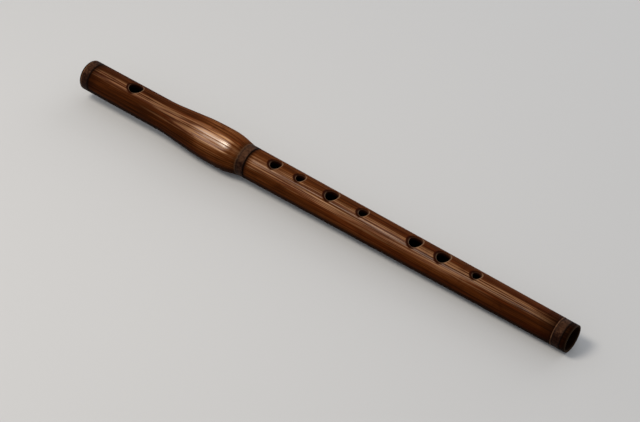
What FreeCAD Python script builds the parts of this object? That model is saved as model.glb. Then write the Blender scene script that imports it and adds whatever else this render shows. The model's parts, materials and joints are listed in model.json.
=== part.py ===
import FreeCAD, Part
import math
import os

# A keyless wooden flute that comes apart in two joints: a head joint with a barrel swell, and a body joint
# with seven finger holes. It lies along X with its foot towards +X and its holes facing +Z. The origin is on
# the axis, halfway between the crown of the head cap and the foot. Lengths are in millimetres.

# Bore and fits
bore_radius = 10.5
slip_clearance = 0.05
loose_clearance = 0.3
overrun = 3.0

# Head joint, from the head end to the socket mouth
neck_length = 113.7
swell_rise_length = 51.6
swell_crest_length = 32.3
swell_fall_length = 17.8
neck_radius = 16.65
swell_radius = 21.2
swell_foot_radius = 17.3
neck_blend = 6.0
crest_start_blend = 8.0
crest_end_blend = 7.0
socket_mouth_radius = 17.05
socket_radius = 14.0
socket_depth = 26.0
edge_break = 0.5

# Embouchure, an oval with its long axis along the flute
embouchure_place = 66.8
embouchure_half_length = 8.3
embouchure_half_width = 6.8
embouchure_undercut = 0.7
embouchure_rim_bevel = 0.8

# Body joint, from its shoulder to the foot
body_length = 374.4
shoulder_gap = 0.3
shoulder_radius = 16.95
foot_radius = 13.96
foot_flare_depth = 5.0
foot_flare_rise = 2.2
foot_flare_share = 0.28

# Finger holes, as shares of the body length from the shoulder
large_hole_radius = 6.5
middle_hole_radius = 5.8
small_hole_radius = 4.6
least_hole_radius = 4.2
hole_rim_bevel = 1.4
finger_hole_shares = (0.0769, 0.1605, 0.2644, 0.3665, 0.5318, 0.6166, 0.7175)
finger_hole_radii = (
    middle_hole_radius,
    small_hole_radius,
    large_hole_radius,
    small_hole_radius,
    large_hole_radius,
    large_hole_radius,
    least_hole_radius,
)

# Tenon of the body joint and its thread lapping
tenon_end_gap = 0.5
tenon_end_collar = 3.4
tenon_lapping_length = 18.6
tenon_lapping_thickness = 1.1

# Metal bands
head_band_length = 11.1
socket_band_length = 9.9
foot_band_length = 9.5
foot_tip_length = 6.1
band_wall = 0.9
band_bevel_share = 0.78
band_bevel_length = 0.9
band_lip_width = 1.0
band_lip_rise = 0.25

# Head cap and its lapping
cap_seat_gap = 0.1
cap_rim_radius = 13.4
cap_rim_thickness = 1.0
cap_crown_rise = 1.4
cap_crown_radius = 9.0
cap_plug_length = 12.0
cap_lapping_length = 9.0
cap_lapping_thickness = 0.9

# Stopper cork
stopper_length = 20.0

# Places along the axis, measured from the head end
socket_band_start = neck_length + swell_rise_length + swell_crest_length + swell_fall_length
head_length = socket_band_start + socket_band_length
shoulder_x = head_length + shoulder_gap
flute_length = shoulder_x + body_length
socket_bottom = head_length - socket_depth
tenon_end = socket_bottom + tenon_end_gap
foot_band_start = flute_length - foot_tip_length - foot_band_length
stopper_face = embouchure_place - 2 * bore_radius
cap_stand = cap_seat_gap + cap_rim_thickness + cap_crown_rise
middle_x = (flute_length - cap_stand) / 2

# Radii that seat one piece in another
band_bevel = band_wall * band_bevel_share
head_band_seat = neck_radius - band_wall
socket_band_seat = socket_mouth_radius - band_wall
tenon_radius = socket_radius - loose_clearance
tenon_lapping_radius = socket_radius - slip_clearance
tenon_channel_radius = tenon_lapping_radius - tenon_lapping_thickness
cap_lapping_radius = bore_radius - slip_clearance
cap_plug_radius = cap_lapping_radius - cap_lapping_thickness


# Radius of the tapered body at a place on the axis
def body_radius_at(x):
    return shoulder_radius + (foot_radius - shoulder_radius) * (x - shoulder_x) / body_length


# A point of a turned outline. Outlines lie below the axis, so that no seam runs through the holes on top.
def at(x, radius):
    return FreeCAD.Vector(x, 0, -radius)


# Straight runs from point to point
def runs(*points):
    return [Part.LineSegment(a, b).toShape() for a, b in zip(points, points[1:])]


# Straight runs whose inner corners are rounded by arcs. Each arc reaches its blend length along both sides.
def blended_runs(points, blends):
    edges = []
    here = points[0]
    for before, corner, after, blend in zip(points, points[1:], points[2:], blends):
        inward = (before - corner).normalize()
        onward = (after - corner).normalize()
        turn = onward.getAngle(-inward)
        first = corner + inward * blend
        middle = corner + (inward + onward).normalize() * (blend * math.tan(turn / 4))
        last = corner + onward * blend
        edges += runs(here, first)
        edges.append(Part.Arc(first, middle, last).toShape())
        here = last
    return edges + runs(here, points[-1])


# A solid turned about the axis from a closed outline
def turned(edges):
    face = Part.Face(Part.Wire(edges))
    solid = face.revolve(FreeCAD.Vector(0, 0, 0), FreeCAD.Vector(1, 0, 0), 360)
    return solid if solid.Volume > 0 else solid.reversed()


# A closed sleeve of thread or cork
def sleeve(x, length, inner, outer):
    end = x + length
    return turned(runs(at(x, inner), at(x, outer), at(end, outer), at(end, inner), at(x, inner)))


# Bevels the upper edge of every hole that the wall was cut with, evenly round each rim
def bevel_rims(wall, centres, half_width, bevel):
    rims = []
    for edge in wall.Edges:
        box = edge.BoundBox
        over_a_hole = any(abs((box.XMin + box.XMax) / 2 - x) < half_width / 2 for x in centres)
        if over_a_hole and box.ZMin > bore_radius and box.XLength > half_width and box.YLength > half_width:
            rims.append(edge)
    return wall.makeChamfer(bevel, rims)


# The oval blow hole, wider at the bore than at the lip
def embouchure_cut():
    sections = []
    for height, growth in ((0, embouchure_undercut), (neck_radius + overrun, 0)):
        centre = FreeCAD.Vector(embouchure_place, 0, height)
        oval = Part.Ellipse(centre, embouchure_half_length + growth, embouchure_half_width + growth)
        sections.append(Part.Wire(oval.toShape()))
    return Part.makeLoft(sections, True, True)


# One finger hole
def finger_hole_cut(x, radius):
    return Part.makeCylinder(radius, shoulder_radius + overrun, FreeCAD.Vector(x, 0, 0))


# Turned wooden head joint: band seat, neck, barrel swell, socket and bore
def make_head_joint():
    neck_start = at(head_band_length + edge_break, neck_radius)
    swell_end = at(socket_band_start, swell_foot_radius)
    swell = blended_runs(
        [
            neck_start,
            at(neck_length, neck_radius),
            at(neck_length + swell_rise_length, swell_radius),
            at(socket_band_start - swell_fall_length, swell_radius),
            swell_end,
        ],
        [neck_blend, crest_start_blend, crest_end_blend],
    )
    head_seat = runs(
        at(0, bore_radius),
        at(0, head_band_seat),
        at(head_band_length, head_band_seat),
        at(head_band_length, neck_radius - edge_break),
        neck_start,
    )
    socket = runs(
        swell_end,
        at(socket_band_start, socket_band_seat),
        at(head_length, socket_band_seat),
        at(head_length, socket_radius),
        at(socket_bottom, socket_radius),
        at(socket_bottom, bore_radius),
        at(0, bore_radius),
    )
    wood = turned(head_seat + swell + socket).cut(embouchure_cut())
    return bevel_rims(wood, [embouchure_place], embouchure_half_width, embouchure_rim_bevel)


# Turned wooden body joint: tenon with its lapping channel, tapered wall, band groove, holes and flared foot
def make_body_joint():
    channel_start = tenon_end + tenon_end_collar
    channel_end = channel_start + tenon_lapping_length
    foot_band_end = foot_band_start + foot_band_length
    groove_radius = body_radius_at(foot_band_end) - band_wall
    flare_start = flute_length - foot_flare_depth
    flare_middle = at(flute_length - foot_flare_depth / 2, bore_radius + foot_flare_rise * foot_flare_share)
    wood = turned(runs(
        at(tenon_end, bore_radius),
        at(tenon_end, tenon_radius - edge_break),
        at(tenon_end + edge_break, tenon_radius),
        at(channel_start, tenon_radius),
        at(channel_start, tenon_channel_radius),
        at(channel_end, tenon_channel_radius),
        at(channel_end, tenon_radius),
        at(shoulder_x, tenon_radius),
        at(shoulder_x, shoulder_radius - edge_break),
        at(shoulder_x + edge_break, body_radius_at(shoulder_x + edge_break)),
        at(foot_band_start, body_radius_at(foot_band_start)),
        at(foot_band_start, groove_radius),
        at(foot_band_end, groove_radius),
        at(foot_band_end, body_radius_at(foot_band_end) - edge_break),
        at(foot_band_end + edge_break, body_radius_at(foot_band_end + edge_break)),
        at(flute_length - edge_break, body_radius_at(flute_length - edge_break)),
        at(flute_length, foot_radius - edge_break),
        at(flute_length, bore_radius + foot_flare_rise),
        flare_middle,
        at(flare_start, bore_radius),
        at(tenon_end, bore_radius),
    ))
    centres = [shoulder_x + body_length * share for share in finger_hole_shares]
    for x, radius in zip(centres, finger_hole_radii):
        wood = wood.cut(finger_hole_cut(x, radius))
    return bevel_rims(wood, centres, least_hole_radius, hole_rim_bevel)


# Band at the head end, with a low bevel at its end
def make_head_band():
    return turned(runs(
        at(0, head_band_seat),
        at(0, neck_radius - band_bevel),
        at(band_bevel_length, neck_radius),
        at(head_band_length, neck_radius),
        at(head_band_length, head_band_seat),
        at(0, head_band_seat),
    ))


# Band round the socket mouth, with a raised lip beside the swell and a broken edge at the mouth
def make_socket_band():
    return turned(runs(
        at(socket_band_start, socket_band_seat),
        at(socket_band_start, socket_mouth_radius + band_lip_rise),
        at(socket_band_start + band_lip_width, socket_mouth_radius),
        at(head_length - edge_break, socket_mouth_radius),
        at(head_length, socket_mouth_radius - edge_break),
        at(head_length, socket_band_seat),
        at(socket_band_start, socket_band_seat),
    ))


# Band near the foot, let into its groove, with a raised lip along its upper edge
def make_foot_band():
    end = foot_band_start + foot_band_length
    surface = body_radius_at(end)
    return turned(runs(
        at(foot_band_start, surface - band_wall),
        at(foot_band_start, surface + band_lip_rise),
        at(foot_band_start + band_lip_width, surface),
        at(end, surface),
        at(end, surface - band_wall),
        at(foot_band_start, surface - band_wall),
    ))


# Turned cap: a low crown with a broad bevel on a plug that carries its lapping
def make_head_cap():
    return turned(runs(
        at(-cap_stand, 0),
        at(-cap_stand, cap_crown_radius),
        at(-cap_seat_gap - cap_rim_thickness, cap_rim_radius),
        at(-cap_seat_gap, cap_rim_radius),
        at(-cap_seat_gap, cap_plug_radius),
        at(cap_plug_length, cap_plug_radius),
        at(cap_plug_length, 0),
        at(-cap_stand, 0),
    ))


# Cork cylinder that closes the air column behind the embouchure
def make_stopper_cork():
    start = FreeCAD.Vector(stopper_face - stopper_length, 0, 0)
    return Part.makeCylinder(bore_radius - slip_clearance, stopper_length, start, FreeCAD.Vector(1, 0, 0))


def make_tenon_lapping():
    start = tenon_end + tenon_end_collar
    return sleeve(start, tenon_lapping_length, tenon_channel_radius, tenon_lapping_radius)


def make_cap_lapping():
    return sleeve(edge_break, cap_lapping_length, cap_plug_radius, cap_lapping_radius)


pieces = {
    "head_joint": make_head_joint(),
    "head_band": make_head_band(),
    "socket_band": make_socket_band(),
    "head_cap": make_head_cap(),
    "cap_lapping": make_cap_lapping(),
    "stopper_cork": make_stopper_cork(),
    "body_joint": make_body_joint(),
    "tenon_lapping": make_tenon_lapping(),
    "foot_band": make_foot_band(),
}

os.makedirs("parts", exist_ok=True)
for name, shape in pieces.items():
    shape.translate(FreeCAD.Vector(-middle_x, 0, 0))
    shape.exportStep("parts/" + name + ".step")
    print(name, "valid" if shape.isValid() else "NOT VALID", len(shape.Solids), round(shape.Volume, 1))
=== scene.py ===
import bmesh
import bpy
import json
import math
import numpy as np
from mathutils import Matrix, Vector


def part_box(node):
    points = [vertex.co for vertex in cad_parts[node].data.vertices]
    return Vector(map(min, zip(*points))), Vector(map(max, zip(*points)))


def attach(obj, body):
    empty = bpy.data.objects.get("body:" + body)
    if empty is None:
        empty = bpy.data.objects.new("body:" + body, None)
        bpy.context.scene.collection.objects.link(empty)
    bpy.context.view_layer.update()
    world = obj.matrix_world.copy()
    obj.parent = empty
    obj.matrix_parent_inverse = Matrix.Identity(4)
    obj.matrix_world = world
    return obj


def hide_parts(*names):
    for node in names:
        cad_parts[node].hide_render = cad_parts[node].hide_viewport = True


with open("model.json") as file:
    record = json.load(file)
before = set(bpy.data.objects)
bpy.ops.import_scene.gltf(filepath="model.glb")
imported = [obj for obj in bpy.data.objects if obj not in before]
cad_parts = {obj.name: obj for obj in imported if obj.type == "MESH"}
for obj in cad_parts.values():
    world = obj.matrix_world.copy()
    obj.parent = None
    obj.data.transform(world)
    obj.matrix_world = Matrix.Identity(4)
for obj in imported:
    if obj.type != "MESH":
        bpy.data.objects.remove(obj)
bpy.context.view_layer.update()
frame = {"record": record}
print("frame loaded")

mm = 0.001
columns = 128    # faces round every turned piece
weldDistance = 0.0001 * mm
openings = {opening["name"]: opening["box_m"] for opening in frame["record"]["physics"]["openings"]}
boreRadius = frame["record"]["mounts"][0]["dims"]["r_mm"] * mm


# Where a node starts and ends along the flute, and its largest radius
def spanOf(node):
    low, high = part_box(node)
    return low.x, high.x, high.z


# The middle of a stated opening along the flute
def middleOf(opening):
    low, high = openings[opening]
    return (low[0] + high[0]) / 2


outlineHolds = (0.12 * mm, 1.2 * mm)
holdRoom = 4    # a side takes a hold if it is longer than the blend by this many times the hold


# Turned outlines, as rows of place along the flute and radius. A path goes through corners (x, radius, blend).
# One with a blend b becomes the arc that touches both sides at the distance b. With s and e its radius vectors
# and a its turn, the arc is centre + (sin((1-t)a) s + sin(ta) e) / sin(a). Rows at the small distances in holds
# from each arc keep the flats between the arcs flat, and the marks of an edge beside it.
def outline(corners, steps=5, holds=outlineHolds, closed=True):
    spots = np.array([corner[:2] for corner in corners], float)
    rows = []
    for index, corner in enumerate(corners):
        here, blend = spots[index], corner[2]
        before, after = spots[index - 1], spots[(index + 1) % len(corners)]
        inward, onward = before - here, after - here
        onEnd = not closed and index in (0, len(corners) - 1)
        if onEnd or blend == 0:
            rows.append(here[None])
            continue
        inwardLength, onwardLength = np.linalg.norm(inward), np.linalg.norm(onward)
        inward, onward = inward / inwardLength, onward / onwardLength
        bisector = (inward + onward) / np.linalg.norm(inward + onward)
        half = math.acos(np.clip(inward @ bisector, -1, 1))
        centre = here + bisector * blend / math.cos(half)
        start, end = here + inward * blend - centre, here + onward * blend - centre
        turn = math.pi - 2 * half
        t = np.linspace(0, 1, steps + 1)[:, None]
        arc = centre + (np.sin((1 - t) * turn) * start + np.sin(t * turn) * end) / math.sin(turn)
        beside = []
        for way, length in ((inward, inwardLength), (onward, onwardLength)):
            fitting = [hold for hold in holds if length > blend + holdRoom * hold]
            beside.append([here + way * (blend + hold) for hold in fitting])
        rows.append(np.vstack([*beside[0][::-1], arc, *beside[1]]))
    return np.vstack(rows)


# How close each row is to some edges (x, radius, share): share exp(-(distance / width)^2)
def closeTo(rows, edges, width):
    near = [share * np.exp(-np.sum((rows - (x, r)) ** 2, axis=1) / width ** 2) for x, r, share in edges]
    return np.max(near, axis=0)


# The angles round the flute, from -pi to pi with zero on top
anglesRound = (np.arange(columns) / columns - 0.5) * 2 * math.pi


# Points of a turned surface: (x, r sin(a), r cos(a)), where r may change with x and a
def turnedPoints(x, radius, angles):
    x, radius, angles = np.broadcast_arrays(x, radius, angles)
    return np.stack([x, radius * np.sin(angles), radius * np.cos(angles)], -1)


# The faces between the rows and columns of a grid of point numbers
def gridFaces(numbers, closedRows, closedColumns):
    if closedRows:
        numbers = np.vstack([numbers, numbers[:1]])
    if closedColumns:
        numbers = np.hstack([numbers, numbers[:, :1]])
    return np.stack([numbers[:-1, :-1], numbers[:-1, 1:], numbers[1:, 1:], numbers[1:, :-1]], -1)


# Adds a new object to the scene
def addObject(name, data):
    made = bpy.data.objects.new(name, data)
    bpy.context.scene.collection.objects.link(made)
    return made


# Puts points and faces into a mesh, closes its seams, and hangs it on its body in place of its CAD node
def makePiece(name, node, body, material, points, faces, marks=None):
    used, faces = np.unique(faces.reshape(-1, 4), return_inverse=True)
    mesh = bpy.data.meshes.new(name)
    mesh.from_pydata(points.reshape(-1, 3)[used].tolist(), [], faces.reshape(-1, 4).tolist())
    for mark, values in (marks or {}).items():
        attribute = mesh.attributes.new(mark, "FLOAT", "POINT")
        attribute.data.foreach_set("value", values.reshape(-1)[used].astype("f"))
    welded = bmesh.new()
    welded.from_mesh(mesh)
    bmesh.ops.remove_doubles(welded, verts=welded.verts, dist=weldDistance)
    bmesh.ops.recalc_face_normals(welded, faces=welded.faces)
    welded.to_mesh(mesh)
    welded.free()
    mesh.polygons.foreach_set("use_smooth", [True] * len(mesh.polygons))
    mesh.materials.append(material)
    piece = addObject(name, mesh)
    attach(piece, body)
    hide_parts(node)


# A turned piece without holes. Each mark for the material has a value for each row.
def turnedPiece(name, node, body, material, rows, closed=True, marks=None):
    points = turnedPoints(rows[:, :1], rows[:, 1:], anglesRound)
    numbers = np.arange(len(rows) * columns).reshape(len(rows), columns)
    spread = {mark: np.repeat(values, columns) for mark, values in (marks or {}).items()}
    makePiece(name, node, body, material, points, gridFaces(numbers, closed, True), spread)


# Walls with holes. A side of a hole is a direction (x, y), and fades in between two cosines of the angle to it
holeGrid = {
    "cells": 12,    # cells along the flute in the block that a hole replaces
    "reach": 18,    # columns on each side of the top
    "margin": 3.0 * mm,    # from the rim to the end of the block
    "rowTolerance": 0.001 * mm,
    "boreTolerance": 0.01 * mm,
    "boreRoom": 1.0 * mm,    # rows within it of the bore belong to the bore
    "spreadRings": 9,    # rings from the block's edge to the land round the rim
    "land": (0.9 * mm, 0.35 * mm),    # from the rim to the two rings of the land
    "wallRings": 9,
    "wallLead": 1.0 * mm,    # from the bevel to the first ring of the wall
    "boreShares": (0.97, 0.8, 0.5),    # rings in the bore, from the hole at 1 to the block's edge at 0
    "outerBlend": 0.15 * mm,
    "innerBlend": 0.3 * mm,
    "hold": 0.2 * mm,
    "wornWidth": 0.4 * mm,
    "edgeWidth": 0.55 * mm,    # width of the wear on the edges away from the holes
    # Wear at the hole rims, partly painted highlight
    "innerWear": 1.0,
    "outerWear": 0.75,
    "plainWear": 0.1,    # least wear and painted highlight of the inner edge, as a share
    "plainDishShade": 0.9,    # least painted shade of the dish, as a share
    "dishShadeRise": 4,    # the dish's painted shade is full at the bevel's depth over this
    # Sides where the inner and then the outer rims of the holes are worn pale and painted with highlight
    "wearAndHighlightSide": (0.05, -1.0),
    "wearAndHighlightCosines": (-0.3, 0.5),
    "footWearAndHighlightSide": (1.0, -0.1),
    "footWearAndHighlightCosines": (0.1, 0.75),
    # A dark crescent beside each hole, on the side towards the head and the player
    "darkCrescentSide": (-0.62, -0.78),
    "darkCrescentCosines": (0.0, 0.75),
    "darkCrescentFade": 0.55 * mm,
    "darkCrescentMiddle": 0.5,    # how dark the crescent is at its width
    # Painted shade inside a hole is full at this depth
    "darkDepth": 2.6 * mm,
}


# The places along the flute where the block round a hole has its rows
def holeRows(hole):
    halfBlock = hole["halfLength"] + hole["bevel"] + holeGrid["margin"]
    return hole["x"] + np.linspace(-halfBlock, halfBlock, holeGrid["cells"] + 1)


# The point numbers round the edge of a block, the same way round for the outside and the bore
def blockEdge(numbers, rows, cols):
    sides = [
        numbers[rows[:-1], cols[0]],
        numbers[rows[-1], cols[:-1]],
        numbers[rows[:0:-1], cols[-1]],
        numbers[rows[0], cols[:0:-1]],
    ]
    return np.concatenate(sides)


# The rings of one hole, from the block's edge over the outside to the bevel, down the bevel and the wall, and
# out over the bore. A ring over the outside or bore is (1-s) edge + s oval in place and angle. A ring of the
# bevel is the oval grown by its offset, at its depth under the outside. Each point has four marks: painted
# shade inside the hole and the bore, darker with depth; worn edges, partly painted highlight; painted shade in
# the dish; and a dark crescent. The dark crescent lies on the side towards the head and the player, where the
# dish's painted shade is darkest too. The inner edge is worn and painted with highlight most on the player's
# side, and the outer edge on the foot's side.
def holeRings(hole, outerRadiusAt, edgeX, edgeAngle):
    size, bevel = holeGrid, hole["bevel"]
    around = np.arctan2(edgeAngle * outerRadiusAt(hole["x"]), edgeX - hole["x"])

    def oval(grow):
        length, width = hole["halfLength"] + grow, hole["halfWidth"] + grow
        return hole["x"] + length * np.cos(around), width * np.sin(around)

    def spreadOut(share, grow, radiusAt):
        x, y = oval(grow)
        angle = edgeAngle + (np.arcsin(y / radiusAt(x)) - edgeAngle) * share
        x = edgeX + (x - edgeX) * share
        return turnedPoints(x, radiusAt(x), angle)

    def boreAt(x):
        return np.full_like(x, boreRadius)

    farLand, nearLand = size["land"]
    shares = np.linspace(0, 1, size["spreadRings"] + 1)[1:]
    rings = [spreadOut(share, bevel + farLand, outerRadiusAt) for share in shares]
    marks = [(0, 0, 0, 0)] * len(rings)
    corners = [
        (bevel + farLand, 0, 0),
        (bevel + nearLand, 0, 0),
        (bevel, 0, size["outerBlend"]),
        (0, bevel, size["innerBlend"]),
        (0, bevel + size["wallLead"], 0),
    ]
    rim = outline(corners, holds=(size["hold"],), closed=False)[1:]
    innerWear = closeTo(rim, [(0, bevel, size["innerWear"])], size["wornWidth"])
    outerWear = closeTo(rim, [(bevel, 0, size["outerWear"])], size["wornWidth"])
    for (offset, depth), *wear in zip(rim, innerWear, outerWear):
        x, y = oval(offset)
        rings.append(np.stack([x, y, np.sqrt(outerRadiusAt(x) ** 2 - y ** 2) - depth], -1))
        marks.append((0, *wear, min(1, depth / bevel * size["dishShadeRise"])))
    top = rings[-1]
    x, y = oval(hole["undercut"])
    foot = np.stack([x, y, np.sqrt(boreRadius ** 2 - y ** 2)], -1)
    for share in np.linspace(0, 1, size["wallRings"])[1:]:
        rings.append(top + (foot - top) * share)
        depth = np.mean(top[:, 2] - rings[-1][:, 2])
        marks.append((min(1, depth / size["darkDepth"]), 0, 0, 1))
    for share in size["boreShares"]:
        rings.append(spreadOut(share, hole["undercut"], boreAt))
        marks.append((1, 0, 0, 0))
    rings = np.array(rings)
    shadeInside, innerWorn, outerWorn, dishShade = np.array(marks, float).T[:, :, None]
    dx, dy = rings[..., 0] - hole["x"], rings[..., 1]
    grown = np.hypot(dx / (hole["halfLength"] + bevel), dy / (hole["halfWidth"] + bevel))
    away = np.maximum(0, grown - 1) * hole["halfWidth"]

    def sideShare(direction, cosines):
        cosine = (dx * direction[0] + dy * direction[1]) / np.hypot(dx, dy)
        return np.clip((cosine - cosines[0]) / (cosines[1] - cosines[0]), 0, 1)

    darkCrescentSide = sideShare(size["darkCrescentSide"], size["darkCrescentCosines"])
    wearAndHighlightSide = sideShare(size["wearAndHighlightSide"], size["wearAndHighlightCosines"])
    darkCrescent = (hole["darkCrescentWidth"] * darkCrescentSide - away) / size["darkCrescentFade"] + size["darkCrescentMiddle"] * darkCrescentSide
    darkCrescent = np.clip(darkCrescent, 0, 1)
    # The rims are worn and painted with highlight most on the player's side inside and the foot's side outside
    innerWorn = innerWorn * (size["plainWear"] + (1 - size["plainWear"]) * wearAndHighlightSide)
    worn = np.maximum(innerWorn, outerWorn * sideShare(size["footWearAndHighlightSide"], size["footWearAndHighlightCosines"]))
    dishShade = dishShade * (size["plainDishShade"] + (1 - size["plainDishShade"]) * darkCrescentSide)
    return rings, np.stack(np.broadcast_arrays(shadeInside, worn, dishShade, darkCrescent), -1)


# A turned wooden wall with holes on top and some worn edges. By each hole, rings replace a block of the grid
# outside and in the bore.
def holedPiece(name, node, body, material, rows, holes, outerRadiusAt, wornEdges):
    size = holeGrid
    points = turnedPoints(rows[:, :1], rows[:, 1:], anglesRound).reshape(-1, 3)
    numbers = np.arange(len(points)).reshape(len(rows), columns)
    cells = gridFaces(numbers, True, True)
    keep = np.ones(cells.shape[:2], bool)
    # The bore takes painted shade
    inBore = np.repeat(rows[:, 1] < boreRadius + size["boreTolerance"], columns)
    worn = np.repeat(closeTo(rows, wornEdges, size["edgeWidth"]), columns)
    none = np.zeros_like(worn)
    allPoints, allMarks, faces = [points], [np.stack([inBore, worn, none, none], -1)], []
    count = len(points)
    cols = columns // 2 + np.arange(-size["reach"], size["reach"] + 1)
    boreLimit = boreRadius + size["boreRoom"]
    for hole in holes:
        found = [np.flatnonzero(np.abs(rows[:, 0] - x) < size["rowTolerance"]) for x in holeRows(hole)]
        outer = np.array([spots[rows[spots, 1] > boreLimit][0] for spots in found])
        inner = np.array([spots[rows[spots, 1] < boreLimit][0] for spots in found])
        for blockRows in (outer, inner):
            keep[blockRows.min():blockRows.max(), cols[0]:cols[-1]] = False
        outerEdge, innerEdge = blockEdge(numbers, outer, cols), blockEdge(numbers, inner, cols)
        rings, marks = holeRings(hole, outerRadiusAt, points[outerEdge, 0], anglesRound[outerEdge % columns])
        added = count + np.arange(rings[..., 0].size).reshape(rings.shape[:2])
        count += added.size
        allPoints.append(rings.reshape(-1, 3))
        allMarks.append(marks.reshape(-1, marks.shape[-1]))
        faces.append(gridFaces(np.vstack([outerEdge, added, innerEdge]), False, True).reshape(-1, 4))
    faces.append(cells[keep])
    marks = dict(zip(("shadeInside", "worn", "dishShade", "darkCrescent"), np.vstack(allMarks).T))
    makePiece(name, node, body, material, np.vstack(allPoints), np.vstack(faces), marks)


# A colour as it is written, from 0 to 255 a channel, turned into the linear colour that a shader takes
def paint(red, green, blue):
    written = np.array([red, green, blue]) / 255
    linear = np.where(written <= 0.04045, written / 12.92, ((written + 0.055) / 1.055) ** 2.4)
    return (*linear.tolist(), 1.0)


# Adds a node. An input that is given a socket is linked to it, and any other value is set on it.
def addNode(tree, kind, inputs=None, **settings):
    made = tree.nodes.new("ShaderNode" + kind)
    for setting, value in settings.items():
        setattr(made, setting, value)
    for key, value in (inputs or {}).items():
        if isinstance(value, bpy.types.NodeSocket):
            tree.links.new(value, made.inputs[key])
        else:
            made.inputs[key].default_value = value
    return made


def calculate(tree, operation, first, second=0.0, clamp=False):
    return addNode(tree, "Math", {0: first, 1: second}, operation=operation, use_clamp=clamp).outputs[0]


def multiply(tree, first, *others):
    for other in others:
        first = calculate(tree, "MULTIPLY", first, other)
    return first


def calculateVector(tree, operation, *values):
    return addNode(tree, "VectorMath", dict(enumerate(values)), operation=operation).outputs[0]


# The part of a vector that points across the flute
def acrossOf(tree, vector):
    return calculateVector(tree, "MULTIPLY", vector, (0.0, 1.0, 1.0))


# Mixes two colours by a factor
def blendColours(tree, factor, first, second, way="MIX"):
    mixed = addNode(tree, "Mix", {0: factor, 6: first, 7: second}, data_type="RGBA", blend_type=way)
    return mixed.outputs[2]


# Moves a value from one range to another, held at both ends
def spreadRange(tree, value, low, high, newLow=0.0, newHigh=1.0):
    settings = {"Value": value, "From Min": low, "From Max": high, "To Min": newLow, "To Max": newHigh}
    return addNode(tree, "MapRange", settings).outputs[0]


# A colour ramp from (place, colour) pairs
def rampOf(tree, factor, stops):
    ramp = addNode(tree, "ValToRGB", {"Fac": factor})
    while len(ramp.color_ramp.elements) < len(stops):
        ramp.color_ramp.elements.new(0.5)
    for element, (place, colour) in zip(ramp.color_ramp.elements, stops):
        element.position = place
        element.color = colour
    return ramp.outputs["Color"]


# Noise on coordinates that are stretched by a size in each direction
def noiseOn(tree, vector, stretch, detail=2.0, roughness=0.5, distortion=0.0):
    settings = {
        "Vector": calculateVector(tree, "MULTIPLY", vector, stretch),
        "Scale": 1.0,
        "Detail": detail,
        "Roughness": roughness,
        "Distortion": distortion,
    }
    return addNode(tree, "TexNoise", settings).outputs["Fac"]


# Links each noise of a table, spread from 0 to 1, to the output of its name. A row has the stretch along and
# across the flute, the detail, roughness and distortion, and the values that become 0 and 1.
def addNoises(group, place, result, table):
    for name, (along, across, detail, roughness, distortion, low, high) in table.items():
        noise = noiseOn(group, place, (along, across, across), detail, roughness, distortion)
        group.links.new(spreadRange(group, noise, low, high), result[name])


# A new node group with named inputs, where None stands for a vector, and named outputs
def startGroup(name, inputs, outputs):
    group = bpy.data.node_groups.new(name, "ShaderNodeTree")
    for socket, value in inputs.items():
        kind = "NodeSocketVector" if value is None else "NodeSocketFloat"
        made = group.interface.new_socket(name=socket, in_out="INPUT", socket_type=kind)
        if value is not None:
            made.default_value = value
    for socket in outputs:
        group.interface.new_socket(name=socket, in_out="OUTPUT", socket_type="NodeSocketFloat")
    return group, group.nodes.new("NodeGroupInput").outputs, group.nodes.new("NodeGroupOutput").inputs


lengthwise = {
    "drawnRadius": 15.0 * mm,
    "ownShare": 0.12,    # how much of its own radius a place keeps
    "noises": {
        "Figure": (3.0, 110.0, 3.0, 0.55, 0.1, 0.33, 0.67),
        "Streaks": (7.0, 620.0, 3.0, 0.7, 0.0, 0.33, 0.67),
        "Fibres": (30.0, 1050.0, 2.0, 0.6, 0.0, 0.33, 0.67),
        "Lines": (8.0, 850.0, 1.0, 0.5, 0.0, 0.54, 0.66),
        "Threads": (18.0, 1000.0, 1.0, 0.5, 0.1, 0.5, 0.62),
    },
}


# Wood grain that runs along the turned surface: broad figure, streaks, fine fibres, thin dark lines and thin
# light threads. The place is drawn in towards a cylinder of one radius, so that the streaks follow a swell.
def makeGrainGroup():
    group, given, result = startGroup(
        "lengthwiseGrain", {"Vector": None, "Crowding": 1.0}, list(lengthwise["noises"]),
    )
    across = acrossOf(group, given["Vector"])
    along = calculateVector(group, "SUBTRACT", given["Vector"], across)
    outward = calculateVector(group, "NORMALIZE", across)
    drawn = calculateVector(group, "MULTIPLY_ADD", outward, (lengthwise["drawnRadius"],) * 3, along)
    place = calculateVector(group, "MULTIPLY_ADD", across, (lengthwise["ownShare"],) * 3, drawn)
    crowded = addNode(group, "CombineXYZ", {0: 1.0, 1: given["Crowding"], 2: given["Crowding"]}).outputs[0]
    addNoises(group, calculateVector(group, "MULTIPLY", place, crowded), result, lengthwise["noises"])
    return group


mottleNoises = {
    "Mottle": (150.0, 150.0, 5.0, 0.65, 0.4, 0.3, 0.7),
    "Specks": (900.0, 900.0, 2.0, 0.5, 0.0, 0.55, 0.72),
}


# Uneven age: soft mottling and small specks
def makeMottleGroup():
    group, given, result = startGroup("agedMottle", {"Vector": None, "Size": 1.0}, list(mottleNoises))
    place = addNode(group, "VectorMath", {0: given["Vector"], 3: given["Size"]}, operation="SCALE").outputs[0]
    addNoises(group, place, result, mottleNoises)
    return group


scorchEdge = {
    "noise": ((60.0, 260.0, 260.0), 3.0, 0.6),
    "range": (0.25, 0.75),
    "reachShares": (0.55, 1.35),    # of the reach, at the two ends of the range
}


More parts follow.
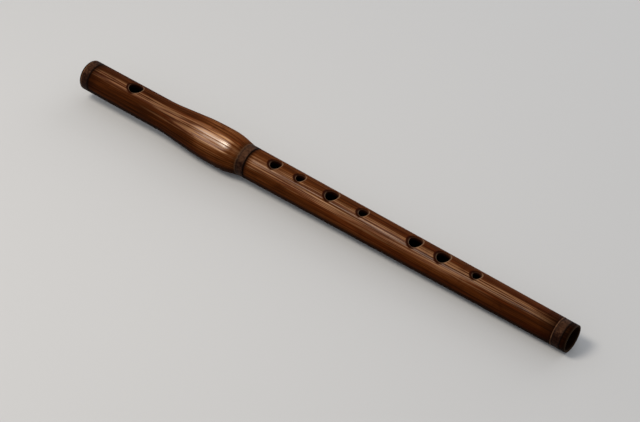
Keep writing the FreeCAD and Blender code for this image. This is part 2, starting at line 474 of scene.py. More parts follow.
# Scorched wood beside a band: one at a place along the flute, fading within its reach, with an uneven edge
def makeScorchGroup():
    inputs = {"Vector": None, "Place": 0.0, "Reach": 0.02}
    group, given, result = startGroup("scorchBesideBand", inputs, ["Scorch"])
    x = addNode(group, "SeparateXYZ", {0: given["Vector"]}).outputs[0]
    away = calculate(group, "ABSOLUTE", calculate(group, "SUBTRACT", x, given["Place"]))
    ragged = noiseOn(group, given["Vector"], *scorchEdge["noise"])
    reachShare = spreadRange(group, ragged, *scorchEdge["range"], *scorchEdge["reachShares"])
    share = calculate(group, "DIVIDE", away, multiply(group, given["Reach"], reachShare))
    settings = {"Value": share, "To Min": 1.0, "To Max": 0.0}
    fade = addNode(group, "MapRange", settings, interpolation_type="SMOOTHSTEP")
    group.links.new(fade.outputs[0], result["Scorch"])
    return group


# A lengthwise side of the flute: one where the surface faces a direction, fading with the angle away from it
def makeSideGroup():
    inputs = {"Vector": None, "Direction": None, "Outer Cosine": 0.0, "Inner Cosine": 1.0}
    group, given, result = startGroup("facingSide", inputs, ["Side"])
    facing = calculateVector(group, "NORMALIZE", acrossOf(group, given["Vector"]))
    cosine = addNode(group, "VectorMath", {0: facing, 1: given["Direction"]}, operation="DOT_PRODUCT")
    settings = {
        "Value": cosine.outputs["Value"],
        "From Min": given["Outer Cosine"],
        "From Max": given["Inner Cosine"],
    }
    fade = addNode(group, "MapRange", settings, interpolation_type="SMOOTHSTEP")
    group.links.new(fade.outputs[0], result["Side"])
    return group


grainGroup, mottleGroup = makeGrainGroup(), makeMottleGroup()
scorchGroup, sideGroup = makeScorchGroup(), makeSideGroup()


def addGroup(tree, group, inputs):
    return addNode(tree, "Group", inputs, node_tree=group).outputs


# A new material with its Principled shader, its coordinates and its mottling
def startMaterial(name, look):
    material = bpy.data.materials.new(name)
    material.use_nodes = True
    tree = material.node_tree
    shader = tree.nodes["Principled BSDF"]
    for socket, value in look["constants"].items():
        shader.inputs[socket].default_value = value
    place = addNode(tree, "TexCoord").outputs["Object"]
    aged = addGroup(tree, mottleGroup, {"Vector": place, "Size": look["mottleSize"]})
    return material, tree, shader, place, aged


# Links a material's colour, and its bumps from a height
def finishMaterial(tree, shader, colour, height, distance):
    settings = {"Height": height, "Distance": distance, "Strength": 1.0}
    tree.links.new(addNode(tree, "Bump", settings).outputs[0], shader.inputs["Normal"])
    tree.links.new(colour, shader.inputs["Base Color"])


def markOf(tree, name):
    return addNode(tree, "Attribute", attribute_name=name).outputs["Fac"]


# A side of the flute at an angle from the top, from one to zero between two angles away from it
def sideOf(tree, place, degrees, inner, outer):
    turned = math.radians(degrees)
    settings = {
        "Vector": place,
        "Direction": (0.0, math.sin(turned), math.cos(turned)),
        "Inner Cosine": math.cos(math.radians(inner)),
        "Outer Cosine": math.cos(math.radians(outer)),
    }
    return addGroup(tree, sideGroup, settings)["Side"]


# A weighted sum of values
def weighted(tree, pairs):
    total = multiply(tree, *pairs[0])
    for value, share in pairs[1:]:
        total = calculate(tree, "ADD", total, multiply(tree, value, share))
    return total


# A value that changes along the flute, held between (place, value) stops
def alongFlute(tree, place, stops):
    x = addNode(tree, "SeparateXYZ", {0: place}).outputs[0]
    low, high = stops[0][0], stops[-1][0]
    share = spreadRange(tree, x, low, high)
    greys = [((spot - low) / (high - low), (value, value, value, 1)) for spot, value in stops]
    return rampOf(tree, share, greys)


# Oiled wood with lengthwise grain. It is polished by the hands on top, with a painted highlight there,
# painted paler and golden on the side away from the player where light falls, painted darker underneath for
# shade, scorched beside the bands, worn pale and partly painted with highlight at the rims of the holes, with a
# dark crescent beside them, and painted dark for shade in their dishes, in them and in the bore.
def makeWood(name, look):
    material, tree, shader, place, aged = startMaterial(name, look)
    grain = addGroup(tree, grainGroup, {"Vector": place, "Crowding": look["crowding"]})
    # Where the hands polish: gloss, and a painted highlight where the lamp's highlight falls
    narrow, wide = sideOf(tree, place, *look["narrowSide"]), sideOf(tree, place, *look["polishAndHighlightSide"])
    polishAndHighlight = spreadRange(tree, alongFlute(tree, place, look["widening"]), 0.0, 1.0, narrow, wide)
    polishAndHighlight = multiply(tree, polishAndHighlight, alongFlute(tree, place, look["polishAndHighlightAlong"]))
    # Painted light: the side away from the player is painted paler
    paintedLight = sideOf(tree, place, *look["paintedLightSide"])
    tone = weighted(tree, [
        (grain["Figure"], look["figureShare"]),
        (grain["Streaks"], look["streakShare"]),
        (grain["Fibres"], look["fibreShare"]),
        (polishAndHighlight, look["paintedHighlightLift"]),
        (paintedLight, look["paintedLightLift"]),
        (alongFlute(tree, place, look["toneAlong"]), look["alongLift"]),
    ])
    colour = rampOf(tree, tone, look["tones"])
    redness = noiseOn(tree, place, look["redStretch"])
    redness = spreadRange(tree, redness, *look["redRange"], 0.0, look["redShare"])
    polishedLines = look["polishedLines"] * look["lineShare"]
    lineShare = spreadRange(tree, polishAndHighlight, 0.0, 1.0, look["lineShare"], polishedLines)
    soiled = spreadRange(tree, aged["Mottle"], 0.0, look["soilEnd"], look["soilShare"], 0.0)
    # Painted shade: darker on the underside
    paintedUndersideShade = sideOf(tree, place, *look["paintedUndersideShade"])
    layers = [
        # Painted light: more golden on the paler side
        (multiply(tree, paintedLight, look["paintedLightGoldShare"]), look["paintedLightGoldTint"], "MULTIPLY"),
        (redness, look["redTint"], "MULTIPLY"),
        (multiply(tree, grain["Lines"], lineShare), look["lineColour"], "MIX"),
        # Painted highlight: light threads where the wood is polished
        (multiply(tree, grain["Threads"], polishAndHighlight, look["highlightThreadShare"]), look["highlightThreadColour"], "MIX"),
        (soiled, look["soilTint"], "MULTIPLY"),
        (multiply(tree, paintedUndersideShade, look["paintedUndersideShadeShare"]), look["paintedUndersideShadeTint"], "MULTIPLY"),
    ]
    for share, tint, way in layers:
        colour = blendColours(tree, share, colour, tint, way)
    clean = calculate(tree, "SUBTRACT", 1.0, grain["Lines"])
    for spot, reach, share in look["scorches"]:
        scorch = addGroup(tree, scorchGroup, {"Vector": place, "Place": spot, "Reach": reach})["Scorch"]
        colour = blendColours(tree, multiply(tree, scorch, share), colour, look["scorchColour"])
        clean = multiply(tree, clean, spreadRange(tree, scorch, 0.0, 1.0, 1.0, 1.0 - share))
    # Marks of the holes: painted shade inside and in the dishes, a dark crescent, and worn rims, partly painted
    # highlight
    marks = {}
    for mark in ("darkCrescent", "dishShade", "shadeInside", "worn"):
        marks[mark] = markOf(tree, mark)
        share = multiply(tree, marks[mark], look[mark + "Share"])
        colour = blendColours(tree, share, colour, look[mark + "Colour"])
    rough = spreadRange(tree, grain["Streaks"], 0.0, 1.0, *look["roughness"])
    tree.links.new(rough, shader.inputs["Roughness"])
    streaked = spreadRange(tree, grain["Streaks"], *look["glossStreaks"], *look["gloss"])
    burnished = calculate(tree, "POWER", polishAndHighlight, look["burnish"])
    holed = calculate(tree, "MAXIMUM", marks["darkCrescent"], marks["dishShade"])
    outside = spreadRange(tree, holed, 0.0, look["dullMark"], 1.0, 0.0)
    gloss = calculate(tree, "MULTIPLY", multiply(tree, streaked, burnished, clean), outside, clamp=True)
    tree.links.new(gloss, shader.inputs["Coat Weight"])
    height = calculate(tree, "ADD", grain["Fibres"], multiply(tree, grain["Streaks"], look["streakRelief"]))
    finishMaterial(tree, shader, colour, height, look["grainDepth"])
    return material


# Brown patinated metal, mottled, with bright metal worn through on the raised edges, a painted highlight on the
# side towards the top, and darkened edges of grime and painted shade
def makeBandMetal(name, look):
    material, tree, shader, place, aged = startMaterial(name, look)
    tone = weighted(tree, [
        (aged["Mottle"], look["mottleShare"]),
        # Painted highlight: lighter on the side towards the top
        (sideOf(tree, place, *look["paintedLightSide"]), look["paintedLightLift"]),
        (alongFlute(tree, place, look["toneAlong"]), look["alongLift"]),
    ])
    colour = rampOf(tree, tone, look["tones"])
    patchy = multiply(tree, markOf(tree, "wear"), spreadRange(tree, aged["Mottle"], *look["wornPatches"]))
    colour = blendColours(tree, patchy, colour, look["wornColour"])
    # Grime at joints and hollows, and painted shade at the head band's bevel edges, darken the band and take
    # its metal
    grimeAndShade = markOf(tree, "grimeAndShade")
    colour = blendColours(tree, grimeAndShade, colour, look["grimeAndShadeColour"])
    metal = spreadRange(tree, patchy, 0.0, 1.0, look["metallic"], 1.0)
    tree.links.new(calculate(tree, "SUBTRACT", metal, grimeAndShade, clamp=True), shader.inputs["Metallic"])
    rough = spreadRange(tree, aged["Mottle"], 0.0, 1.0, *look["roughness"])
    rough = calculate(tree, "SUBTRACT", rough, multiply(tree, patchy, look["wornPolish"]))
    tree.links.new(rough, shader.inputs["Roughness"])
    height = calculate(tree, "ADD", aged["Mottle"], multiply(tree, aged["Specks"], look["speckRelief"]))
    finishMaterial(tree, shader, colour, height, look["dentDepth"])
    return material


# Cork with dark pores
def makeCork(name, look):
    material, tree, shader, place, aged = startMaterial(name, look)
    pores = addNode(tree, "TexVoronoi", {"Vector": place, "Scale": look["poreScale"]}).outputs["Distance"]
    colour = rampOf(tree, aged["Mottle"], look["tones"])
    pore = spreadRange(tree, pores, *look["poreRange"], 1.0, 0.0)
    colour = blendColours(tree, pore, colour, look["poreColour"])
    height = calculate(tree, "SUBTRACT", aged["Specks"], pore)
    finishMaterial(tree, shader, colour, height, look["poreDepth"])
    return material


# Waxed thread, twisted from plies, with painted shade between its turns
def makeThread(name, look):
    material, tree, shader, place, aged = startMaterial(name, look)
    colour = rampOf(tree, aged["Mottle"], look["tones"])
    colour = blendColours(tree, markOf(tree, "groove"), colour, look["grooveShadeColour"])
    settings = {"Vector": place, "Scale": look["plyScale"], "Distortion": look["plyDistortion"]}
    twist = addNode(tree, "TexWave", settings, bands_direction="DIAGONAL")
    finishMaterial(tree, shader, colour, twist.outputs["Fac"], look["plyDepth"])
    return material


headStart, headEnd, swellRadius = spanOf("head_joint")
headBandStart, headBandEnd, neckRadius = spanOf("head_band")
socketBandStart, socketBandEnd, socketBandRadius = spanOf("socket_band")
tenonStart, footEnd, shoulderRadius = spanOf("body_joint")
footBandStart, footBandEnd = spanOf("foot_band")[:2]
tenonLappingStart, tenonLappingEnd = spanOf("tenon_lapping")[:2]
capStart, capPlugEnd, capRimRadius = spanOf("head_cap")
corkStart, corkEnd, corkRadius = spanOf("stopper_cork")

bandWall = 0.9 * mm
bandLip = 0.25 * mm
seatBlend = 0.1 * mm    # at the corners that nobody touches
shoulderX = socketBandEnd + 0.3 * mm

woodTones = [
    (0.06, paint(22, 8, 2)),
    (0.34, paint(60, 27, 8)),
    (0.54, paint(82, 41, 14)),
    (0.74, paint(112, 66, 34)),
    (1.0, paint(178, 129, 92)),
]
# A side has its middle in degrees from the top, then where it starts to fade and where it ends
headWoodLook = {
    "tones": woodTones,
    "crowding": 1.0,
    "mottleSize": 0.35,
    "figureShare": 0.14,
    "streakShare": 0.24,
    "fibreShare": 0.26,
    # The polished sides carry gloss and a painted highlight, narrow and then wide along the flute
    "polishAndHighlightSide": (-33, 16, 29),
    "narrowSide": (-21, 6, 21),
    "widening": [(headStart + 80 * mm, 0.0), (headStart + 140 * mm, 1.0)],
    "polishAndHighlightAlong": [
        (headBandEnd, 0.2),
        (headBandEnd + 8 * mm, 0.36),
        (headStart + 90 * mm, 0.32),
        (headStart + 150 * mm, 0.42),
        (headStart + 172 * mm, 1.0),
        (headStart + 198 * mm, 1.0),
        (headStart + 206 * mm, 0.2),
    ],
    # Painted highlight: a lighter tone on the polished side
    "paintedHighlightLift": 0.2,
    # Painted light: paler and golden on the side away from the player
    "paintedLightSide": (50, 22, 46),
    "paintedLightLift": 0.09,
    "paintedLightGoldShare": 0.5,
    "paintedLightGoldTint": paint(255, 250, 200),
    "toneAlong": [
        (headStart + 95 * mm, 0.0),
        (headStart + 150 * mm, 0.4),
        (headStart + 170 * mm, 0.92),
        (headStart + 190 * mm, 1.0),
        (headStart + 206 * mm, 0.8),
    ],
    "alongLift": 0.32,
    "redStretch": (8.0, 170.0, 170.0),
    "redRange": (0.5, 0.66),
    "redShare": 0.4,
    "redTint": paint(255, 200, 190),
    "lineShare": 0.6,
    "polishedLines": 0.3,    # how much of the dark lines polished wood keeps
    "lineColour": paint(26, 9, 2),
    # Painted highlight: light threads on the polished side
    "highlightThreadShare": 0.8,
    "highlightThreadColour": paint(206, 157, 112),
    "soilEnd": 0.4,
    "soilShare": 0.5,
    "soilTint": paint(150, 120, 100),
    # Painted shade: darker on the underside
    "paintedUndersideShade": (180, 72, 88),
    "paintedUndersideShadeShare": 0.85,
    "paintedUndersideShadeTint": paint(100, 85, 75),
    "scorches": [(headBandEnd, 17 * mm, 0.55), (headBandEnd, 3.6 * mm, 1.0), (socketBandStart, 7 * mm, 0.5)],
    "scorchColour": paint(14, 4, 1),
    # A dark crescent beside each hole
    "darkCrescentShare": 0.98,
    "darkCrescentColour": paint(40, 11, 3),
    # Painted shade in the holes' dishes
    "dishShadeShare": 0.97,
    "dishShadeColour": paint(38, 12, 5),
    # Worn pale rims of the holes, partly painted highlight
    "wornShare": 0.9,
    "wornColour": paint(152, 122, 96),
    # Painted shade inside the holes and in the bore
    "shadeInsideShare": 0.95,
    "shadeInsideColour": paint(14, 6, 4),
    "roughness": (0.7, 0.55),
    "glossStreaks": (0.1, 0.9),
    "gloss": (-0.3, 2.4),
    "burnish": 3.0,
    "dullMark": 0.6,         # a hole's dark crescent or dish has no gloss from this mark on
    "streakRelief": 1.6,
    "grainDepth": 0.05 * mm,
    "constants": {
        "Specular IOR Level": 0.02,
        "Specular Tint": (1.0, 0.7, 0.45, 1.0),
        "Coat Roughness": 0.3,
        "Coat IOR": 2.0,
    },
}
bodyWoodLook = {
    **headWoodLook,
    "figureShare": 0.12,
    "streakShare": 0.2,
    "fibreShare": 0.24,
    # Painted highlight on the polished side and painted light on the paler side, as for the head
    "paintedHighlightLift": 0.25,
    "paintedLightLift": 0.12,
    "highlightThreadShare": 0.7,
    "gloss": (0.0, 1.35),
    "polishAndHighlightSide": (-34, 15, 32),
    "widening": [(shoulderX + 235 * mm, 1.0), (footBandStart - 62 * mm, 0.0)],
    "polishAndHighlightAlong": [
        (shoulderX, 0.05),
        (shoulderX + 8 * mm, 0.52),
        (shoulderX + 165 * mm, 0.52),
        (shoulderX + 220 * mm, 0.48),
        (footBandStart - 30 * mm, 0.55),
        (footBandStart, 0.05),
    ],
    "toneAlong": [
        (shoulderX, 0.64),
        (footBandStart - 120 * mm, 0.54),
        (footBandStart - 60 * mm, 0.3),
        (footBandStart, 0.16),
    ],
    "scorches": [
        (shoulderX, 5 * mm, 0.8),
        (shoulderX, 2 * mm, 1.0),
        (footBandStart, 20 * mm, 0.6),
        (footBandStart, 3 * mm, 0.6),
        (footBandEnd, 2.4 * mm, 1.0),
        (footEnd, 12 * mm, 0.9),
        (footEnd, 8 * mm, 0.7),
    ],
}
capWoodLook = {
    **headWoodLook,
    "tones": [(0.0, paint(6, 2, 1)), (0.4, paint(14, 5, 3)), (0.9, paint(36, 16, 9))],
    "scorches": [],
    "crowding": 1.4,
}
bandLook = {
    "tones": [(0.05, paint(18, 7, 3)), (0.4, paint(38, 18, 9)), (0.95, paint(84, 57, 40))],
    # Painted highlight: lighter on the side towards the top
    "paintedLightSide": (-15, 12, 50),
    "mottleShare": 0.62,
    "paintedLightLift": 0.28,
    "toneAlong": [(headBandEnd, 0.0), (socketBandStart, 1.0), (socketBandEnd, 1.0), (footBandStart, 0.3)],
    "alongLift": 0.16,
    "wornPatches": (0.1, 0.7, 0.35, 1.0),
    "wornColour": paint(146, 104, 76),
    "wornPolish": 0.15,
    # Grime at joints and hollows, and painted shade at the head band's bevel edges
    "grimeAndShadeColour": paint(6, 2, 1),
    "mottleSize": 2.8,
    "metallic": 0.35,
    "roughness": (0.72, 0.55),
    "speckRelief": 0.4,
    "dentDepth": 0.05 * mm,
    "constants": {"Specular IOR Level": 0.05},
}
corkLook = {
    "tones": [(0.1, paint(140, 98, 58)), (0.5, paint(182, 136, 88)), (0.9, paint(206, 164, 114))],
    "poreColour": paint(78, 46, 24),
    "poreScale": 420.0,
    "poreRange": (0.08, 0.2),
    "poreDepth": 0.15 * mm,
    "mottleSize": 1.6,
    "constants": {"Roughness": 0.85, "Specular IOR Level": 0.2},
}
threadLook = {
    "tones": [(0.1, paint(120, 84, 44)), (0.5, paint(166, 124, 74)), (0.9, paint(196, 158, 104))],
    # Painted shade between the turns
    "grooveShadeColour": paint(70, 44, 20),
    "mottleSize": 1.2,
    "plyScale": 900.0,
    "plyDistortion": 1.5,
    "plyDepth": 0.03 * mm,
    "constants": {"Roughness": 0.7, "Sheen Weight": 0.25},
}
headWood = makeWood("oiledHeadWood", headWoodLook)
bodyWood = makeWood("oiledBodyWood", bodyWoodLook)
capWood = makeWood("darkCapWood", capWoodLook)
bandMetal = makeBandMetal("patinatedBand", bandLook)
corkMaterial = makeCork("greasedCork", corkLook)
threadMaterial = makeThread("waxedThread", threadLook)
print("materials made")


# Head joint
headJoint = {
    "edge": 0.35 * mm,
    "riseCorner": headStart + 113.7 * mm,
    "crestCorner": headStart + 165.3 * mm,
    "fallCorner": headStart + 197.6 * mm,
    "footRadius": 17.3 * mm,
    "riseBlend": 9.0 * mm,
    "crestBlend": 12.0 * mm,
    "fallBlend": 9.0 * mm,
    "blendSteps": 8,
    "footWear": 0.2,
    "socketRadius": 14.0 * mm,
    "socketDepth": 26.0 * mm,
    "blowHole": {
        "x": middleOf("embouchure"),
        "halfLength": 8.3 * mm,
        "halfWidth": 6.8 * mm,
        "bevel": 0.8 * mm,
        "undercut": 0.35 * mm,
        "darkCrescentWidth": 1.4 * mm,
    },
}


def buildHeadJoint():
    size = headJoint
    seat, socketSeat = neckRadius - bandWall, socketBandRadius - bandLip - bandWall
    edge, small = size["edge"], seatBlend
    socketBottom = headEnd - size["socketDepth"]
    blowHole = size["blowHole"]
    holeXs = holeRows(blowHole)
    corners = [
        (headStart, boreRadius, small),
        (headStart, seat, small),
        (headBandEnd, seat, small),
        (headBandEnd, neckRadius, edge),
        *[(x, neckRadius, 0) for x in holeXs],
        (size["riseCorner"], neckRadius, size["riseBlend"]),
        (size["crestCorner"], swellRadius, size["crestBlend"]),
        (size["fallCorner"], swellRadius, size["fallBlend"]),
        (socketBandStart, size["footRadius"], edge),
        (socketBandStart, socketSeat, small),
        (headEnd, socketSeat, small),
        (headEnd, size["socketRadius"], small),
        (socketBottom, size["socketRadius"], small),
        (socketBottom, boreRadius, small),
        *[(x, boreRadius, 0) for x in holeXs[::-1]],
    ]
    rows = outline(corners, steps=size["blendSteps"])
    wornEdges = [(socketBandStart, size["footRadius"], size["footWear"])]

    def neckRadiusAt(x):
        return np.full_like(np.asarray(x, float), neckRadius)

    holedPiece(
        "headJointWood", "head_joint", "head", headWood, rows, [blowHole],
        neckRadiusAt, wornEdges,
    )


buildHeadJoint()
print("head joint built")


# Body joint
bodyJoint = {
    "footRadius": 13.96 * mm,
    "tenonRadius": 13.7 * mm,
    "channelDepth": 0.85 * mm,
    "edge": 0.4 * mm,
    "flareDepth": 5.0 * mm,
    "flareRise": 2.2 * mm,
    "flareMiddle": 0.28,      # rise halfway along the flare, as a share
    "flareBlends": (0.3 * mm, 1.2 * mm, 1.0 * mm),
    "footWear": (0.2, 0.1),   # inside and outside
    "bevel": 1.4 * mm,
    "undercut": 0.0,
    "darkCrescentWidth": 1.3 * mm,
    "holeRadii": (5.8 * mm, 4.6 * mm, 6.5 * mm, 4.6 * mm, 6.5 * mm, 6.5 * mm, 4.2 * mm),
}


# The body tapers in a straight line from the shoulder to the foot
def bodyRadiusAt(x):
    share = (x - shoulderX) / (footEnd - shoulderX)
    return shoulderRadius + (bodyJoint["footRadius"] - shoulderRadius) * share


def buildBodyJoint():
    size = bodyJoint
    edge, small = size["edge"], seatBlend
    holes = []
    shared = {key: size[key] for key in ("bevel", "undercut", "darkCrescentWidth")}
    for number, radius in enumerate(size["holeRadii"], 1):
        middle = middleOf("finger_hole_%d" % number)
        holes.append({"x": middle, "halfLength": radius, "halfWidth": radius, **shared})
    holeXs = np.concatenate([holeRows(hole) for hole in holes])
    channel = size["tenonRadius"] - size["channelDepth"]
    groove = bodyRadiusAt(footBandEnd) - bandWall
    rimRadius, flareRise, flareDepth = boreRadius + size["flareRise"], size["flareRise"], size["flareDepth"]
    endBlend, middleBlend, innerBlend = size["flareBlends"]
    corners = [
        (tenonStart, boreRadius, small),
        (tenonStart, size["tenonRadius"], edge),
        (tenonLappingStart, size["tenonRadius"], small),
        (tenonLappingStart, channel, small),
        (tenonLappingEnd, channel, small),
        (tenonLappingEnd, size["tenonRadius"], small),
        (shoulderX, size["tenonRadius"], small),
        (shoulderX, shoulderRadius, edge),
        *[(x, bodyRadiusAt(x), 0) for x in holeXs],
        (footBandStart, bodyRadiusAt(footBandStart), small),
        (footBandStart, groove, small),
        (footBandEnd, groove, small),
        (footBandEnd, bodyRadiusAt(footBandEnd), edge),
        (footEnd, bodyRadiusAt(footEnd), edge),
        (footEnd, rimRadius, endBlend),
        (footEnd - flareDepth / 2, boreRadius + size["flareMiddle"] * flareRise, middleBlend),
        (footEnd - flareDepth, boreRadius, innerBlend),
        *[(x, boreRadius, 0) for x in holeXs[::-1]],
    ]
    rows = outline(corners)
    innerWear, outerWear = size["footWear"]
    wornEdges = [(footEnd, rimRadius, innerWear), (footEnd, bodyRadiusAt(footEnd), outerWear)]
    holedPiece(
        "bodyJointWood", "body_joint", "body", bodyWood, rows, holes, bodyRadiusAt, wornEdges,
    )


buildBodyJoint()
print("body joint built")


# Bands
bandShape = {
    "bevelRise": 0.7 * mm,
    "bevelLength": 0.9 * mm,
    "bevelBlends": (0.1 * mm, 0.3 * mm),
    "bevelWear": (1.3 * mm, 0.6),    # place after the bevel, and share
    # Painted shade at the bevel's edge
    "bevelEdgeShade": 0.9,
    "lipWidth": 1.0 * mm,
    "lipBlend": 0.2 * mm,
    "lipTop": (0.5, 0.1),            # place across the lip, and how far it has sunk there
    "lipWear": 0.3,                  # place across the lip
    "lipGrime": (1.4, 0.6),          # place across the lip, and share
    "socketWear": 0.4,
    "footWear": 1.0,
    "edge": 0.3 * mm,
    "small": 0.06 * mm,
    "wornWidth": 0.55 * mm,
    "grimeWidth": 0.9 * mm,
    "steps": 6,
    "holds": (0.3 * mm, 1.0 * mm, 2.0 * mm),
}


# A turned band, with metal worn bright on some edges and others darkened: grime at joints and hollows, and
# painted shade at the edges of the head band's bevel
def buildBand(name, node, body, corners, wornEdges, darkenedEdges):
    size = bandShape
    rows = outline(corners, steps=size["steps"], holds=size["holds"])
    marks = {
        "wear": closeTo(rows, wornEdges, size["wornWidth"]),
        "grimeAndShade": closeTo(rows, darkenedEdges, size["grimeWidth"]),
    }
    turnedPiece(name, node, body, bandMetal, rows, marks=marks)


# The band at the head end has a bevelled end
def buildHeadBand():
    size, radius = bandShape, neckRadius
    bevelEnd, bevelRadius = headBandStart + size["bevelLength"], radius - size["bevelRise"]
    startBlend, endBlend = size["bevelBlends"]
    wornPlace, wornShare = size["bevelWear"]
    corners = [
        (headBandStart, radius - bandWall, size["small"]),
        (headBandStart, bevelRadius, startBlend),
        (bevelEnd, radius, endBlend),
        (headBandEnd, radius, size["small"]),
        (headBandEnd, radius - bandWall, size["small"]),
    ]
    worn = [(bevelEnd + wornPlace, radius, wornShare)]
    # Darkened edges: grime at the joint with the wood, and painted shade at both edges of the bevel
    darkened = [
        (headBandEnd, radius, 1.0),
        (headBandStart, bevelRadius, 1.0),
        (bevelEnd, radius, size["bevelEdgeShade"]),
    ]
    buildBand("headEndBand", "head_band", "head", corners, worn, darkened)


# A band with a raised lip along the edge nearer to the head
def buildLippedBand(name, node, body, edge, wear):
    size = bandShape
    start, end, radius = spanOf(node)
    face, lipWidth, lipBlend = radius - bandLip, size["lipWidth"], size["lipBlend"]
    topPlace, topSunk = size["lipTop"]
    grimePlace, grimeShare = size["lipGrime"]
    corners = [
        (start, face - bandWall, size["small"]),
        (start, radius, lipBlend),
        (start + topPlace * lipWidth, radius - topSunk * bandLip, lipBlend),
        (start + lipWidth, face, lipBlend),
        (end, face, edge),
        (end, face - bandWall, size["small"]),
    ]
    worn = [(start + size["lipWear"] * lipWidth, radius, wear)]
    darkened = [(end, face, 1.0), (start + grimePlace * lipWidth, face, grimeShare), (start, face, grimeShare)]
    buildBand(name, node, body, corners, worn, darkened)


buildHeadBand()
buildLippedBand("socketBand", "socket_band", "head", bandShape["edge"], bandShape["socketWear"])
buildLippedBand("footBand", "foot_band", "body", bandShape["small"], bandShape["footWear"])
print("bands built")


# Head cap, with a low dished crown and a plug
headCap = {
    "rimThickness": 1.0 * mm,
    "crownRadius": 9.0 * mm,
    "crownBlend": 1.6 * mm,
    "plugRadius": 9.55 * mm,
    "seatGap": 0.1 * mm,
    "edge": 0.35 * mm,
}


def buildHeadCap():
    size = headCap
    seat = headStart - size["seatGap"]
    corners = [
        (capStart, 0, 0),
        (capStart, size["crownRadius"], size["crownBlend"]),
        (seat - size["rimThickness"], capRimRadius, size["edge"]),
        (seat, capRimRadius, size["edge"]),
        (seat, size["plugRadius"], seatBlend),
        (capPlugEnd, size["plugRadius"], size["edge"]),
        (capPlugEnd, 0, 0),
    ]
    rows = outline(corners, closed=False)
    turnedPiece("headCapWood", "head_cap", "cap", capWood, rows, closed=False)


buildHeadCap()


# Stopper cork, with softened ends
cork = {
    "endBlend": 0.8 * mm,
}


def buildCork():
    corners = [
        (corkStart, 0, 0),
        (corkStart, corkRadius, cork["endBlend"]),
        (corkEnd, corkRadius, cork["endBlend"]),
        (corkEnd, 0, 0),
    ]
    rows = outline(corners, closed=False)
    turnedPiece("stopperCork", "stopper_cork", "stopper", corkMaterial, rows, closed=False)


buildCork()


# Thread lappings. The turns stand out as |cos(pi (x/pitch + a/2pi))| to a low power, and fade at both ends.
lapping = {
    "pitch": 0.62 * mm,
    "relief": 0.22 * mm,
    "turnPower": 0.7,
    "rowsPerTurn": 7,
    "fade": 0.6 * mm,
    "clearance": 0.05 * mm,    # from the channel it lies in
}


def buildLapping(name, node, body, innerRadius):
    size = lapping
    start, end, radius = spanOf(node)
    start, end = start + size["clearance"], end - size["clearance"]
    innerRadius += size["clearance"]
    count = int((end - start) / size["pitch"] * size["rowsPerTurn"])
    x = np.linspace(start, end, count)[:, None]
    wave = np.cos(math.pi * (x / size["pitch"] + anglesRound / (2 * math.pi)))
    turns = np.abs(wave) ** size["turnPower"]
    fade = np.clip(np.minimum(x - start, end - x) / size["fade"], 0, 1)
    outer = turnedPoints(x, radius - size["relief"] * (1 - turns * fade), anglesRound)
    ends = np.array([[end, innerRadius], [start, innerRadius]])
    inner = turnedPoints(ends[:, :1], ends[:, 1:], anglesRound)
    points = np.concatenate([outer, inner])
    numbers = np.arange(points.shape[0] * columns).reshape(-1, columns)
    # Painted shade between the turns
    groove = np.concatenate([(1 - turns) * np.ones_like(x), np.zeros((2, columns))])
    faces = gridFaces(numbers, True, True)
    makePiece(name, node, body, threadMaterial, points, faces, {"groove": groove})


channelRadius = bodyJoint["tenonRadius"] - bodyJoint["channelDepth"]
buildLapping("tenonLapping", "tenon_lapping", "lapping", channelRadius)
buildLapping("capLapping", "cap_lapping", "cap", headCap["plugRadius"])
print("cap, cork and lappings built")


# Floor, lamps, world and camera
studio = {
    "floorColour": (0.6, 0.62, 0.65, 1),
    "floorBounce": 0.12,
    "floorSize": 12.0,
    "floorRoughness": 0.9,
    "floorSpecular": 0.1,
    "restBeforeFall": 4 * mm,    # where the swell rests on the floor, from its last corner
    "lampDistance": 1.7,
    "lamps": {                   # direction, power, size and colour
        "keyLamp": ((-0.33, -0.38, 0.86), 15.0, 0.6, (1.0, 0.89, 0.75)),
        "fillLamp": ((0.1, 0.94, 0.34), 7.0, 1.4, (1.0, 0.97, 0.93)),
    },
    "worldColour": (0.5, 0.5, 0.5, 1),
    "backdropColour": (0.55, 0.55, 0.55, 1),
}


# The flute lies on its swell and its foot, so the floor leans a little along it
def makeFloor():
    crest = Vector((headJoint["fallCorner"] - studio["restBeforeFall"], 0, -swellRadius))
    foot = Vector((footEnd, 0, -bodyRadiusAt(footEnd)))
    along = (foot - crest).normalized()
    half = studio["floorSize"] / 2
    signs = ((-1, -1), (1, -1), (1, 1), (-1, 1))
    corners = [crest + along * sx * half + Vector((0, sy * half, 0)) for sx, sy in signs]
    mesh = bpy.data.meshes.new("floor")
    mesh.from_pydata([tuple(corner) for corner in corners], [], [(0, 1, 2, 3)])
    floor = addObject("floor", mesh)
    material = bpy.data.materials.new("paleFloor")
    material.use_nodes = True
    tree = material.node_tree
    seen = seenRays(tree)
    bright = studio["floorColour"]
    dull = tuple(part * studio["floorBounce"] / bright[0] for part in bright[:3]) + (1,)
    colour = blendColours(tree, seen, dull, bright)
    shader = tree.nodes["Principled BSDF"]
    tree.links.new(colour, shader.inputs["Base Color"])
    shader.inputs["Roughness"].default_value = studio["floorRoughness"]
    shader.inputs["Specular IOR Level"].default_value = studio["floorSpecular"]
    mesh.materials.append(material)


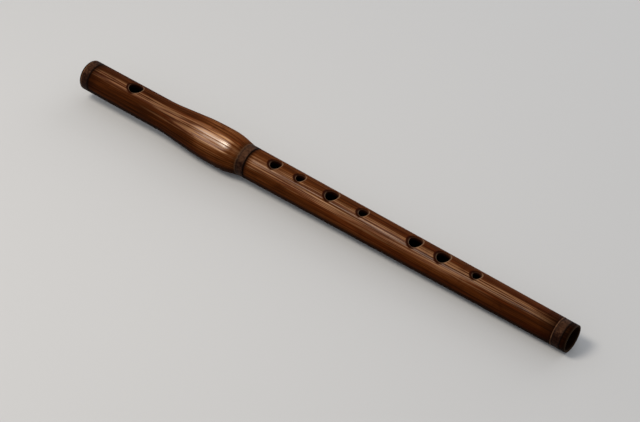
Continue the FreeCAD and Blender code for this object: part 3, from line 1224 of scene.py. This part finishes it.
# One for camera, glossy and transmission rays
def seenRays(tree):
    path = addNode(tree, "LightPath").outputs
    seen = calculate(tree, "ADD", path["Is Camera Ray"], path["Is Glossy Ray"])
    return calculate(tree, "ADD", seen, path["Is Transmission Ray"], clamp=True)


def addLamp(name, direction, power, size, colour):
    lamp = bpy.data.lights.new(name, "AREA")
    lamp.energy = power
    lamp.size = size
    lamp.color = colour
    holder = addObject(name, lamp)
    away = Vector(direction).normalized()
    holder.location = away * studio["lampDistance"]
    holder.rotation_euler = away.to_track_quat("Z", "Y").to_euler()


def makeWorld():
    world = bpy.data.worlds.new("studio")
    world.use_nodes = True
    bpy.context.scene.world = world
    tree = world.node_tree
    colour = blendColours(tree, seenRays(tree), studio["worldColour"], studio["backdropColour"])
    tree.links.new(colour, tree.nodes["Background"].inputs["Color"])


view = {
    "azimuth": 38.13,
    "elevation": 44.72,
    "distance": 1.572,
    "aim": Vector((1.25 * mm, 0, 0)),
    "right": 8.5 * mm,
    "up": -14.9 * mm,
    "lens": 90.0,
    "sensor": 36.0,
    "lean": 3.0,    # the whole view turned about the flute, in degrees towards the player
}


def makeCamera():
    azimuth, elevation = math.radians(view["azimuth"]), math.radians(view["elevation"])
    flat = math.cos(elevation)
    back = Vector((math.sin(azimuth) * flat, -math.cos(azimuth) * flat, math.sin(elevation)))
    right = Vector((math.cos(azimuth), math.sin(azimuth), 0))
    up = back.cross(right)
    lens = bpy.data.cameras.new("camera")
    lens.lens = view["lens"]
    lens.sensor_width = view["sensor"]
    camera = addObject("camera", lens)
    turned = Matrix((right, up, back)).transposed().to_4x4()
    spot = view["aim"] + back * view["distance"] + right * view["right"] + up * view["up"]
    lean = Matrix.Rotation(math.radians(view["lean"]), 4, "X")
    camera.matrix_world = lean @ Matrix.Translation(spot) @ turned
    bpy.context.scene.camera = camera


makeFloor()
for name, settings in studio["lamps"].items():
    addLamp(name, *settings)
makeWorld()
makeCamera()
bpy.context.scene.view_settings.view_transform = "Standard"
print("stage set")
